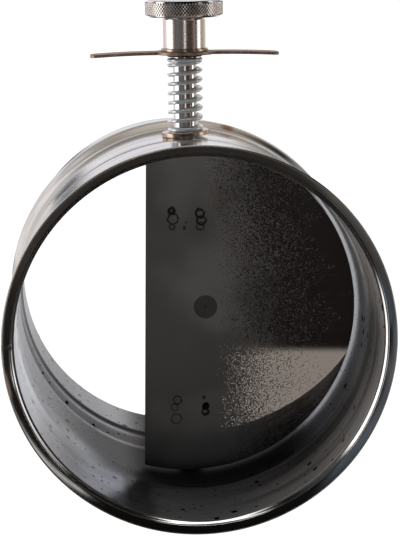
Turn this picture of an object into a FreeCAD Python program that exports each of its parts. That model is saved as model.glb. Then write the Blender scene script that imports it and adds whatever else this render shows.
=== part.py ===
import FreeCAD, Part

import math
import os
import re

import Sketcher
from FreeCAD import Vector

# A butterfly valve for a round 115 mm stainless flue. Millimetres, +Z up along the
# spindle, the flue runs along Y. The origin is the centre of the spigot's open end;
# the flared mouth looks towards -Y.
document = FreeCAD.newDocument("FlueButterflyValve")

driving = {
    # flue tube, rolled from sheet: its stretches from the spigot's end to the mouth
    "sheetWall": 0.8,
    "spigotRadius": 57.4,
    "spigotLength": 25,
    "spigotStep": 1.2,
    "spigotLand": 2.8,
    "beadHalf": 7,
    "beadRise": 2.4,
    "barrelLength": 31,
    "socketSwage": 6,
    "socketLength": 40,
    "socketSlack": 0.4,
    "flareRise": 3.4,
    "flareRadius": 10,
    # spindle and its bearings
    "spindleSetback": 11,
    "spindleRadius": 4,
    "spindleTail": 4.1,
    "spindleChamfer": 0.6,
    "bearingSlack": 0.05,
    "flatDepth": 1,
    "flatOverrun": 0.2,
    "stubRadius": 3,
    "stubLength": 11.5,
    "stubFlat": 2.5,
    # damper plate and the saddle clips welded to its back
    "plateGap": 1,
    "plateWall": 1.5,
    "plateCut": 14.6,
    "plateSkew": 1.1,
    "upperClipInset": 25.4,
    "lowerClipInset": 21.4,
    "clipWall": 1,
    "clipHalf": 9.5,
    "clipWidth": 14,
    "clipSlack": 0.02,
    "clipBend": 0.8,
    # washers
    "washerRadius": 7.9,
    "washerWall": 1.5,
    "washerSlack": 0.3,
    "washerLean": 3.5,
    "seatRadius": 5.8,
    "seatWall": 0.8,
    "collarRadius": 7.8,
    "collarWall": 1,
    # split pin under the lower washer
    "pinRadius": 0.9,
    "pinSlack": 0.1,
    "pinDrop": 0.3,
    "pinEye": 2.1,
    "pinTail": 6,
    "pinAngle": 50,
    # spring
    "springReach": 25,
    "springOuter": 6,
    "springWire": 1.3,
    "springLift": 0.1,
    "springTurns": 6.5,
    "springLead": 2.1,
    "springClosed": 0.45,
    "seatSlack": 0.3,
    # lever
    "leverHalf": 31.5,
    "leverArm": 4,
    "leverBoss": 10,
    "leverWall": 1,
    "leverCorner": 2.5,
    "leverDroop": 0.7,
    "leverSlack": 0.05,
    # knob
    "neckRadius": 7.2,
    "neckLength": 10.5,
    "neckFillet": 1,
    "headRadius": 13,
    "headHeight": 5.5,
    "headChamfer": 0.7,
    "threadSlack": 0.05,
    "threadRunout": 0.8,
}

sizes = document.addObject("Spreadsheet::Sheet", "Sizes")
for row, (word, number) in enumerate(driving.items(), start=1):
    sizes.set(f"A{row}", word)
    sizes.set(f"B{row}", str(number))
    sizes.setAlias(f"B{row}", word)
document.recompute()

# Sizes that several pieces share, in terms of the driving ones. The spigot is the barrel
# drawn in by one wall, so its outside has the radius of the barrel's bore.
barrelBore = "spigotRadius"
spigotBore = "spigotRadius - sheetWall"
socketBore = "spigotRadius + socketSlack"
tubeOuter = "spigotRadius + sheetWall"
beadPlace = "spigotLength + spigotStep + spigotLand + beadHalf"
barrelEnd = f"{beadPlace} + beadHalf + barrelLength"
socketEnd = f"{barrelEnd} + socketSwage"
ductLength = f"{socketEnd} + socketLength"
spindlePlace = f"{barrelEnd} - spindleSetback"
plateRadius = "spigotRadius - plateGap"
plateBack = "spindleRadius - flatDepth"
washerTop = f"{tubeOuter} + washerWall"
coilRadius = "springOuter - springWire / 2"
springFoot = (f"springLift + ({washerTop} + springWire / 2) / cos(washerLean)"
              f" - ({coilRadius}) * tan(washerLean)")
springHead = f"{washerTop} + springReach - seatSlack - springWire / 2"
seatBase = f"{washerTop} + springReach"
leverBase = f"{seatBase} + seatWall"
leverTop = f"{leverBase} + leverWall"
neckBase = f"{leverTop} + collarWall"
headBase = f"{neckBase} + neckLength"
headTop = f"{headBase} + headHeight"
stubTop = f"{leverBase} + stubLength"
pinHeight = f"-({washerTop} + pinDrop + pinRadius)"
tailEnd = f"{pinHeight} - spindleTail"


def bound(words):
    """The same sum with every driving size read from the sheet."""
    return re.sub(r"[A-Za-z]+", lambda m: "Sizes." + m[0] if m[0] in driving else m[0], words)


def amount(words):
    return float(sizes.evalExpression(bound(words)))


def newBody(label):
    body = document.addObject("PartDesign::Body", label)
    body.Label = label
    return body


def originPlane(body, role):
    return next(feature for feature in body.Origin.OriginFeatures if feature.Role == role)


def newSketch(body, name, role, lift=None):
    sketch = body.newObject("Sketcher::SketchObject", name)
    sketch.AttachmentSupport = [(originPlane(body, role), "")]
    sketch.MapMode = "FlatFace"
    if lift:
        sketch.setExpression("AttachmentOffset.Base.z", bound(lift))
    return sketch


def tieTo(sketch, kind, where, words):
    """One constraint of the sketch whose value follows a sum of driving sizes."""
    index = sketch.addConstraint(Sketcher.Constraint(kind, *where, amount(words)))
    sketch.setExpression(f"Constraints[{index}]", bound(words))


def pinCorner(sketch, edge, end, across, along):
    """Ties one end of an edge to its two coordinates from the sketch's origin."""
    for kind, axis, words in (("DistanceX", -2, across), ("DistanceY", -1, along)):
        if words == "0":
            sketch.addConstraint(Sketcher.Constraint("PointOnObject", edge, end, axis))
        else:
            tieTo(sketch, kind, (-1, 1, edge, end), words)


def arcBetween(start, end, radius, turn, reach):
    """The arc of this radius from start to end. Turn is left or right, reach short, half or long."""
    chord = end - start
    side = 1 if turn == "left" else -1
    if reach == "long":
        side = -side
    normal = Vector(-chord.y, chord.x, 0).normalize()
    depth = math.sqrt(max(radius**2 - (chord.Length / 2) ** 2, 0))
    centre = (start + end) / 2 + normal * (side * depth)
    first, last = (start, end) if turn == "left" else (end, start)
    low = math.atan2(first.y - centre.y, first.x - centre.x)
    high = math.atan2(last.y - centre.y, last.x - centre.x)
    if high <= low:
        high += 2 * math.pi
    return Part.ArcOfCircle(Part.Circle(centre, Vector(0, 0, 1), radius), low, high)


def drawOutline(sketch, corners):
    """A closed outline. A corner is (across, along), or (across, along, (radius, turn, reach))
    when an arc leads from it to the next one. A half turn has its centre on the level axis."""
    points = [Vector(amount(corner[0]), amount(corner[1]), 0) for corner in corners]
    starts, ends = [], []
    for number, corner in enumerate(corners):
        start, end = points[number], points[(number + 1) % len(points)]
        if len(corner) == 2:
            sketch.addGeometry(Part.LineSegment(start, end), False)
            starts.append(1)
            ends.append(2)
            continue
        radius, turn, reach = corner[2]
        sketch.addGeometry(arcBetween(start, end, amount(radius), turn, reach), False)
        starts.append(1 if turn == "left" else 2)
        ends.append(2 if turn == "left" else 1)
    first = sketch.GeometryCount - len(corners)
    for number, corner in enumerate(corners):
        edge, ahead = first + number, (number + 1) % len(corners)
        meeting = (edge, ends[number], first + ahead, starts[ahead])
        sketch.addConstraint(Sketcher.Constraint("Coincident", *meeting))
        pinCorner(sketch, edge, starts[number], corner[0], corner[1])
        if len(corner) == 2:
            continue
        radius, _, reach = corner[2]
        if reach == "half":
            sketch.addConstraint(Sketcher.Constraint("PointOnObject", edge, 3, -1))
        else:
            tieTo(sketch, "Radius", (edge,), radius)


def drawCircle(sketch, radius, across="0", along="0"):
    centre = Vector(amount(across), amount(along), 0)
    edge = sketch.addGeometry(Part.Circle(centre, Vector(0, 0, 1), amount(radius)), False)
    pinCorner(sketch, edge, 3, across, along)
    tieTo(sketch, "Radius", (edge,), radius)


def drawBox(sketch, left, right, low, high):
    drawOutline(sketch, [(left, low), (right, low), (right, high), (left, high)])


def turned(body, name, corners, role="XZ_Plane"):
    """A solid turned about the sketch's upright axis."""
    sketch = newSketch(body, name + "Profile", role)
    drawOutline(sketch, corners)
    turn = body.newObject("PartDesign::Revolution", name)
    turn.Profile = sketch
    turn.ReferenceAxis = (sketch, ["V_Axis"])
    turn.Angle = 360
    body.Tip = turn
    document.recompute()


def padded(body, name, sketch, length, both=False):
    pad = body.newObject("PartDesign::Pad", name)
    pad.Profile = sketch
    pad.setExpression("Length", bound(length))
    pad.Midplane = both
    body.Tip = pad
    document.recompute()


def cut(body, name, sketch, length=None, backwards=False):
    """Cuts through everything both ways, or to a depth."""
    before = body.Shape.Volume
    pocket = body.newObject("PartDesign::Pocket", name)
    pocket.Profile = sketch
    if length is None:
        pocket.Type = "ThroughAll"
        pocket.Midplane = True
    else:
        pocket.setExpression("Length", bound(length))
        pocket.Reversed = backwards
    body.Tip = pocket
    document.recompute()
    if before - body.Shape.Volume < 1e-3:
        raise RuntimeError(f"{name} removes nothing")


def place(piece, across="0", along="0", up="0"):
    for axis, words in (("x", across), ("y", along), ("z", up)):
        piece.setExpression(f"Placement.Base.{axis}", bound(words))


def tilt(piece, side, words):
    """Turns a piece about its own Y axis. Side is the X side that goes down, 1 or -1."""
    piece.Placement.Rotation = FreeCAD.Rotation(Vector(0, side, 0), amount(words))
    piece.setExpression("Placement.Rotation.Angle", bound(words))


# Tube: flared mouth, socket, stop bead and spigot, all one rolled sheet.
flareCos = "(flareRadius - sheetWall - flareRise) / (flareRadius - sheetWall)"
flareSin = f"sqrt(1 - ({flareCos}) ^ 2)"
flareFoot = f"flareRadius * {flareSin} - ({ductLength})"
beadArc = "(beadHalf ^ 2 + beadRise ^ 2) / (4 * beadRise)"
beadMiddle = f"{barrelBore} + beadRise / 2"


def wallLine(extra):
    """One face of the sheet behind the flare, mouth to spigot, extra outside the bore."""
    return [
        (f"{socketBore} + {extra}", flareFoot),
        (f"{socketBore} + {extra}", f"-({socketEnd})"),
        (f"{barrelBore} + {extra}", f"-({barrelEnd})"),
        (f"{barrelBore} + {extra}", f"-({beadPlace}) - beadHalf", (beadArc, "right", "short")),
        (f"{beadMiddle} + {extra}", f"-({beadPlace}) - beadHalf / 2", (beadArc, "left", "short")),
        (f"{beadMiddle} + {extra}", f"beadHalf / 2 - ({beadPlace})", (beadArc, "right", "short")),
        (f"{barrelBore} + {extra}", f"beadHalf - ({beadPlace})"),
        (f"{barrelBore} + {extra}", "-spigotLength - spigotStep"),
        (f"{spigotBore} + {extra}", "-spigotLength"),
        (f"{spigotBore} + {extra}", "0"),
    ]


def reversedLine(corners):
    """The same face walked the other way, with its arcs kept."""
    opposite = {"left": "right", "right": "left"}
    back = []
    for number, corner in enumerate(reversed(corners)):
        ahead = len(corners) - 2 - number
        arc = corners[ahead][2:] if ahead >= 0 else ()
        arc = tuple((radius, opposite[turn], reach) for radius, turn, reach in arc)
        back.append(corner[:2] + arc)
    return back


duct = newBody("duct_body")
inside = wallLine("0")
outside = reversedLine(wallLine("sheetWall"))
mouthCentre = f"{socketBore} + flareRadius"
outsideFoot = outside[-1][:2] + (("flareRadius - sheetWall", "left", "short"),)
lip = [
    (f"{mouthCentre} - (flareRadius - sheetWall) * {flareCos}",
     f"{flareFoot} - (flareRadius - sheetWall) * {flareSin}"),
    (f"{mouthCentre} - flareRadius * {flareCos}", f"-({ductLength})",
     ("flareRadius", "right", "short")),
]
turned(duct, "RolledTube", inside + outside[:-1] + [outsideFoot] + lip, "XY_Plane")
bearings = newSketch(duct, "BearingHoles", "XY_Plane")
drawCircle(bearings, "spindleRadius + bearingSlack", "0", f"-({spindlePlace})")
cut(duct, "SpindleBearings", bearings)

# Spindle: tail with a split pin hole, one flat for the plate, a shoulder under the lever
# and a stub with two flats that the lever and knob go on.
spindle = newBody("spindle")
turned(spindle, "Bar", [
    ("0", tailEnd),
    ("spindleRadius - spindleChamfer", tailEnd),
    ("spindleRadius", f"{tailEnd} + spindleChamfer"),
    ("spindleRadius", leverBase),
    ("stubRadius", leverBase),
    ("stubRadius", f"{stubTop} - spindleChamfer"),
    ("stubRadius - spindleChamfer", stubTop),
    ("0", stubTop),
])
flat = newSketch(spindle, "PlateFlatOutline", "XZ_Plane", plateBack)
flatReach = f"{plateRadius} + flatOverrun"
drawBox(flat, "-spindleRadius", "spindleRadius", f"-({flatReach})", flatReach)
cut(spindle, "PlateFlat", flat, "2 * flatDepth", backwards=True)
stubFlats = newSketch(spindle, "StubFlatOutlines", "XZ_Plane")
drawBox(stubFlats, "stubFlat", "2 * stubRadius", leverBase, f"{stubTop} + spindleChamfer")
drawBox(stubFlats, "-2 * stubRadius", "-stubFlat", leverBase, f"{stubTop} + spindleChamfer")
cut(spindle, "StubFlats", stubFlats)
pinHole = newSketch(spindle, "PinHoleOutline", "XZ_Plane")
drawCircle(pinHole, "pinRadius + pinSlack", "0", pinHeight)
cut(spindle, "PinHole", pinHole)
place(spindle, along=f"-({spindlePlace})")

# Damper plate: a disc with one side cut straight, so that some smoke always passes. The
# cut isn't quite true to the spindle.
plate = newBody("damper_plate")
disc = newSketch(plate, "DiscOutline", "XZ_Plane", plateBack)
cutHalf = f"sqrt(({plateRadius}) ^ 2 - plateCut ^ 2)"
drawOutline(disc, [
    ("-plateCut", f"-{cutHalf}", (plateRadius, "left", "long")),
    ("-plateCut", cutHalf),
])
padded(plate, "Disc", disc, "plateWall")
place(plate, along=f"-({spindlePlace})")
tilt(plate, 1, "plateSkew")


def saddleClip(label, up):
    """A strap bent round the spindle, its two feet flat on the plate's back."""
    clip = newBody(label)
    strap = newSketch(clip, "StrapOutline", "XY_Plane")
    near, far = "spindleRadius + clipSlack", "spindleRadius + clipSlack + clipWall"
    foot, step = f"-({plateBack})", f"clipWall - ({plateBack})"
    drawOutline(strap, [
        ("-clipHalf", foot),
        (f"-({near})", foot),
        (f"-({near})", "0", (near, "right", "half")),
        (near, "0"),
        (near, foot),
        ("clipHalf", foot),
        ("clipHalf", step),
        (f"{far} + clipBend", step, ("clipBend", "right", "short")),
        (far, f"{step} + clipBend"),
        (far, "0", (far, "left", "half")),
        (f"-({far})", "0"),
        (f"-({far})", f"{step} + clipBend", ("clipBend", "right", "short")),
        (f"-({far}) - clipBend", step),
        ("-clipHalf", step),
    ])
    padded(clip, "Strap", strap, "clipWidth", both=True)
    place(clip, along=f"-({spindlePlace})", up=up)
    return clip


upperClip = saddleClip("upper_saddle_clip", f"{plateRadius} - upperClipInset")
lowerClip = saddleClip("lower_saddle_clip", f"lowerClipInset - ({plateRadius})")


def flatWasher(label, outer, bore, wall, base):
    washer = newBody(label)
    ring = newSketch(washer, "RingOutline", "XY_Plane")
    drawCircle(ring, outer)
    drawCircle(ring, bore)
    padded(washer, "Ring", ring, wall)
    place(washer, along=f"-({spindlePlace})", up=base)
    return washer


looseBore = "spindleRadius + washerSlack"
upperWasher = flatWasher(
    "upper_washer", "washerRadius", looseBore, "washerWall", f"({tubeOuter}) / cos(washerLean)")
tilt(upperWasher, -1, "washerLean")
lowerWasher = flatWasher("lower_washer", "washerRadius", looseBore, "washerWall", f"-({washerTop})")
springSeat = flatWasher("spring_seat", "seatRadius", looseBore, "seatWall", seatBase)
collar = flatWasher("collar_washer", "collarRadius", "stubRadius + washerSlack", "collarWall", leverTop)

# Lever: a strip with a round boss, its arms drooping a little from the flat middle.
strip = newBody("LeverStrip")
edgeOn = newSketch(strip, "StripEdge", "XZ_Plane")
armArc = "((leverHalf - leverBoss) ^ 2 + leverDroop ^ 2) / (2 * leverDroop)"
drawOutline(edgeOn, [
    ("-leverHalf", "-leverDroop", (f"{armArc} - leverWall", "right", "short")),
    ("-leverBoss", "0"),
    ("leverBoss", "0", (f"{armArc} - leverWall", "right", "short")),
    ("leverHalf", "-leverDroop"),
    ("leverHalf", "leverWall - leverDroop", (armArc, "left", "short")),
    ("leverBoss", "leverWall"),
    ("-leverBoss", "leverWall", (armArc, "left", "short")),
    ("-leverHalf", "leverWall - leverDroop"),
])
padded(strip, "StripPad", edgeOn, "3 * leverBoss", both=True)
blank = newBody("LeverBlank")
outline = newSketch(blank, "BlankOutline", "XY_Plane")
bossJoin = "sqrt(leverBoss ^ 2 - leverArm ^ 2)"
corner = ("leverCorner", "left", "short")
drawOutline(outline, [
    (bossJoin, "-leverArm"),
    ("leverHalf - leverCorner", "-leverArm", corner),
    ("leverHalf", "leverCorner - leverArm"),
    ("leverHalf", "leverArm - leverCorner", corner),
    ("leverHalf - leverCorner", "leverArm"),
    (bossJoin, "leverArm", ("leverBoss", "left", "short")),
    (f"-{bossJoin}", "leverArm"),
    ("leverCorner - leverHalf", "leverArm", corner),
    ("-leverHalf", "leverArm - leverCorner"),
    ("-leverHalf", "leverCorner - leverArm", corner),
    ("leverCorner - leverHalf", "-leverArm"),
    (f"-{bossJoin}", "-leverArm", ("leverBoss", "left", "short")),
])
eyeFlat, eyeRound = "stubFlat + leverSlack", "stubRadius + leverSlack"
eyeHalf = f"sqrt(({eyeRound}) ^ 2 - ({eyeFlat}) ^ 2)"
drawOutline(outline, [
    (eyeFlat, f"-{eyeHalf}"),
    (eyeFlat, eyeHalf, (eyeRound, "left", "short")),
    (f"-({eyeFlat})", eyeHalf),
    (f"-({eyeFlat})", f"-{eyeHalf}", (eyeRound, "left", "short")),
])
padded(blank, "BlankPad", outline, "4 * (leverWall + leverDroop)", both=True)
lever = document.addObject("Part::Common", "lever")
lever.Label = "lever"
lever.Base = strip
lever.Tool = blank
place(lever, along=f"-({spindlePlace})", up=leverBase)

# Knob: a turned neck and head in one, with a blind thread up the neck.
knob = newBody("knob")
threadRadius = "stubRadius + threadSlack"
threadTop = f"{stubTop} + threadRunout"
turned(knob, "TurnedKnob", [
    (threadRadius, neckBase),
    ("neckRadius", neckBase),
    ("neckRadius", f"{headBase} - neckFillet", ("neckFillet", "right", "short")),
    ("neckRadius + neckFillet", headBase),
    ("headRadius - headChamfer", headBase),
    ("headRadius", f"{headBase} + headChamfer"),
    ("headRadius", f"{headTop} - headChamfer"),
    ("headRadius - headChamfer", headTop),
    ("0", headTop),
    ("0", threadTop),
    (threadRadius, threadTop),
])
place(knob, along=f"-({spindlePlace})")

# Split pin: shank through the tail, eye in front, two tails bent apart behind.
shank = document.addObject("Part::Cylinder", "PinShank")
shank.setExpression("Radius", bound("pinRadius"))
shank.setExpression("Height", bound("2 * (spindleRadius + pinRadius)"))
shank.Placement.Rotation = FreeCAD.Rotation(Vector(1, 0, 0), -90)
place(shank, along="-spindleRadius - pinRadius")
eye = document.addObject("Part::Torus", "PinEye")
eye.setExpression("Radius1", bound("pinEye"))
eye.setExpression("Radius2", bound("pinRadius"))
place(eye, along="-spindleRadius - pinRadius - pinEye")
tails = []
for name, side in (("PinTailLeft", 1), ("PinTailRight", -1)):
    tail = document.addObject("Part::Cylinder", name)
    tail.setExpression("Radius", bound("pinRadius"))
    tail.setExpression("Height", bound("pinTail"))
    swing = FreeCAD.Rotation(Vector(0, 0, 1), side * amount("pinAngle"))
    tail.Placement.Rotation = swing.multiply(shank.Placement.Rotation)
    place(tail, along="spindleRadius")
    tails.append(tail)
splitPin = document.addObject("Part::MultiFuse", "split_pin")
splitPin.Label = "split_pin"
splitPin.Shapes = [shank, eye] + tails
place(splitPin, along=f"-({spindlePlace})", up=pinHeight)


def coil():
    """Right-handed wire: half a turn lies on the leaning washer, half a turn leads off it,
    then the open turns, and the last turn closes up under the seat."""
    wire, radius = amount("springWire"), amount(coilRadius)
    rest = amount(f"2 * ({coilRadius}) * tan(washerLean)")
    lead, closed = amount("springLead"), amount("springClosed")
    openRise = amount(f"{springHead} - ({springFoot})") - rest - lead - closed
    stretches = [(0.5, rest), (0.5, lead), (amount("springTurns"), openRise), (1, closed)]
    edges, turned, height = [], 0.5, 0
    for turns, rise in stretches:
        helix = Part.makeHelix(rise / turns, rise, radius)
        helix.rotate(Vector(), Vector(0, 0, 1), 360 * (turned % 1))
        helix.translate(Vector(0, 0, height))
        edges += helix.Edges
        turned += turns
        height += rise
    foot = edges[0]
    section = Part.makeCircle(wire / 2, foot.firstVertex().Point, foot.tangentAt(foot.FirstParameter))
    return Part.Wire(edges).makePipe(Part.Face(Part.Wire(section)))


spring = document.addObject("Part::Feature", "spring")
spring.Label = "spring"
spring.Shape = coil()
place(spring, along=f"-({spindlePlace})", up=springFoot)

document.recompute()

nodes = [
    duct, plate, spindle, upperClip, lowerClip, upperWasher, lowerWasher,
    spring, springSeat, lever, collar, knob, splitPin,
]
faulty = [item.Label for item in document.Objects if set(item.State) & {"Invalid", "Error"}]
if faulty:
    raise RuntimeError("did not compute: " + ", ".join(faulty))
for node in nodes:
    if node.Shape.isNull() or not node.Shape.isValid() or node.Shape.Volume <= 0:
        raise RuntimeError(f"{node.Label} is not a sound solid")

os.makedirs("parts", exist_ok=True)
for node in nodes:
    node.Shape.exportStep(f"parts/{node.Label}.step")
    box = node.Shape.optimalBoundingBox()
    print(f"{node.Label:18s} {len(node.Shape.Solids)} solid, {node.Shape.Volume:9.1f} mm3, "
          f"z {box.ZMin:.2f} to {box.ZMax:.2f}")
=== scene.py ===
import math
from functools import partial

import bmesh
import bpy
from mathutils import Matrix, Vector


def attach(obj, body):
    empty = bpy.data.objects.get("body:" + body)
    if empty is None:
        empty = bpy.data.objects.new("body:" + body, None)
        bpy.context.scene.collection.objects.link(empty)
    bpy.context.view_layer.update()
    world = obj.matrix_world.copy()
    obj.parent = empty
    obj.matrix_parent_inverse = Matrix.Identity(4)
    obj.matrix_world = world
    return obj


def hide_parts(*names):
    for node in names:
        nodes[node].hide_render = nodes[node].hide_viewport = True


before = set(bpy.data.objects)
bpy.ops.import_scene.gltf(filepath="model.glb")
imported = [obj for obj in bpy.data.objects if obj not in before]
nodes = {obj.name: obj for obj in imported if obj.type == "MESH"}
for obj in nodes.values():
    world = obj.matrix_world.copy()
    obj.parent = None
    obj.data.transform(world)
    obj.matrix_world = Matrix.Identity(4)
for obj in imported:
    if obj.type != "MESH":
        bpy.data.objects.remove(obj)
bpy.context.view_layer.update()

# Flue butterfly valve in stainless steel. Sizes are written in millimetres and meshes are in
# metres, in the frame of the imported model: +Z up the spindle, the flue along Y, its flared
# mouth towards -Y and the camera.
mm = 0.001
spindleY = -63


def linear(hexColour):
    # an sRGB hex value as linear red, green, blue and alpha
    parts = [int(hexColour[i:i + 2], 16) / 255 for i in (1, 3, 5)]
    return [p / 12.92 if p <= 0.04045 else ((p + 0.055) / 1.055) ** 2.4 for p in parts] + [1]


def addNode(tree, kind, inputs=None, **settings):
    # one node with its settings; an input is a value, or an output that is linked to it
    node = tree.nodes.new(kind)
    for word, value in settings.items():
        setattr(node, word, value)
    for key, value in (inputs or {}).items():
        if isinstance(value, bpy.types.NodeSocket):
            tree.links.new(value, node.inputs[key])
        else:
            node.inputs[key].default_value = value
    return node


def mathNode(tree, operation, *values):
    # one Math node's result
    return addNode(tree, "ShaderNodeMath", dict(enumerate(values)), operation=operation).outputs[0]


def product(tree, first, *others):
    # values multiplied together
    for other in others:
        first = mathNode(tree, "MULTIPLY", first, other)
    return first


def total(tree, first, *others):
    # values added up
    for other in others:
        first = mathNode(tree, "ADD", first, other)
    return first


def largest(tree, first, *others):
    # the largest of some values
    for other in others:
        first = mathNode(tree, "MAXIMUM", first, other)
    return first


def less(tree, first, second):
    # one value less another
    return mathNode(tree, "SUBTRACT", first, second)


def distance(tree, value, place):
    # how far a value is from a place, on either side of it
    return mathNode(tree, "ABSOLUTE", less(tree, value, place))


def vectorNode(tree, operation, first, second, output=0):
    # one Vector Math node's vector, or its number where output is "Value"
    node = addNode(tree, "ShaderNodeVectorMath", {0: first, 1: second}, operation=operation)
    return node.outputs[output]


def xyz(tree, vector):
    # a vector's three parts
    return addNode(tree, "ShaderNodeSeparateXYZ", {0: vector}).outputs


def between(tree, value, low, high, toLow=0.0, toHigh=1.0):
    # a smooth step of a value from one size to another
    step = addNode(
        tree, "ShaderNodeMapRange", interpolation_type="SMOOTHSTEP",
        inputs={"Value": value, "From Min": low, "From Max": high, "To Min": toLow, "To Max": toHigh},
    )
    return step.outputs["Result"]


def zone(tree, value, ends, toLow=0.0, toHigh=1.0):
    # the same between two places in millimetres
    return between(tree, value, ends[0] * mm, ends[1] * mm, toLow, toHigh)


def blended(tree, share, first, second):
    # two colours mixed by a share, each a hex value or an output
    first, second = (linear(colour) if isinstance(colour, str) else colour for colour in (first, second))
    node = addNode(tree, "ShaderNodeMix", {0: share, 6: first, 7: second}, data_type="RGBA")
    return node.outputs[2]


def grain(tree, where, size, detail=2.0, rough=0.5, stretch=(1, 1, 1)):
    # noise whose lumps are about this many millimetres across
    spread = addNode(tree, "ShaderNodeMapping", {"Vector": where, "Scale": stretch})
    noise = addNode(
        tree, "ShaderNodeTexNoise",
        {"Vector": spread.outputs[0], "Scale": 1 / (size * mm), "Detail": detail, "Roughness": rough},
    )
    return noise.outputs["Fac"]


def newFinish(name, colour, roughness, metallic=1.0):
    # a material, its tree and shader, and its object coordinates
    finish = bpy.data.materials.new(name)
    finish.use_nodes = True
    tree = finish.node_tree
    shader = tree.nodes["Principled BSDF"]
    shader.inputs["Base Color"].default_value = linear(colour)
    shader.inputs["Roughness"].default_value = roughness
    shader.inputs["Metallic"].default_value = metallic
    return finish, tree, shader, addNode(tree, "ShaderNodeTexCoord").outputs["Object"]


def feed(shader, name, value):
    # link one of the shader's inputs
    shader.id_data.links.new(value, shader.inputs[name])


def raised(tree, shader, height, depth):
    # a fine relief of this many millimetres on the shader's normal
    bump = addNode(tree, "ShaderNodeBump", {"Height": height, "Distance": depth * mm})
    feed(shader, "Normal", bump.outputs[0])


def roughened(tree, shader, fine, low, high):
    # a roughness that varies with a grain
    feed(shader, "Roughness", between(tree, fine, 0.3, 0.7, low, high))


def roundTangent(tree, shader, where):
    # lathe marks run round the spindle's axis, so highlights stretch along it
    arm = vectorNode(tree, "SUBTRACT", where, (0, spindleY * mm, 0))
    along = vectorNode(tree, "CROSS_PRODUCT", (0, 0, 1), arm)
    turned = addNode(
        tree, "ShaderNodeVectorTransform", {0: along},
        vector_type="VECTOR", convert_from="OBJECT", convert_to="WORLD",
    )
    feed(shader, "Tangent", turned.outputs[0])


def sootSpecks(tree, where, layers):
    # a round dot in some of the cells, for each (cell size, share of cells left empty, offset)
    specks = None
    for cell, share, offset in layers:
        moved = vectorNode(tree, "ADD", where, (offset * mm, 0, 0))
        cells = addNode(tree, "ShaderNodeTexVoronoi", {"Vector": moved, "Scale": 1 / (cell * mm)})
        chosen = addNode(tree, "ShaderNodeSeparateColor", {0: cells.outputs["Color"]})
        reach = between(tree, chosen.outputs[0], share, 1.0, 0.0, 0.23)
        speck = between(tree, less(tree, reach, cells.outputs["Distance"]), -0.01, 0.03)
        specks = speck if specks is None else largest(tree, specks, speck)
    return specks


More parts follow.
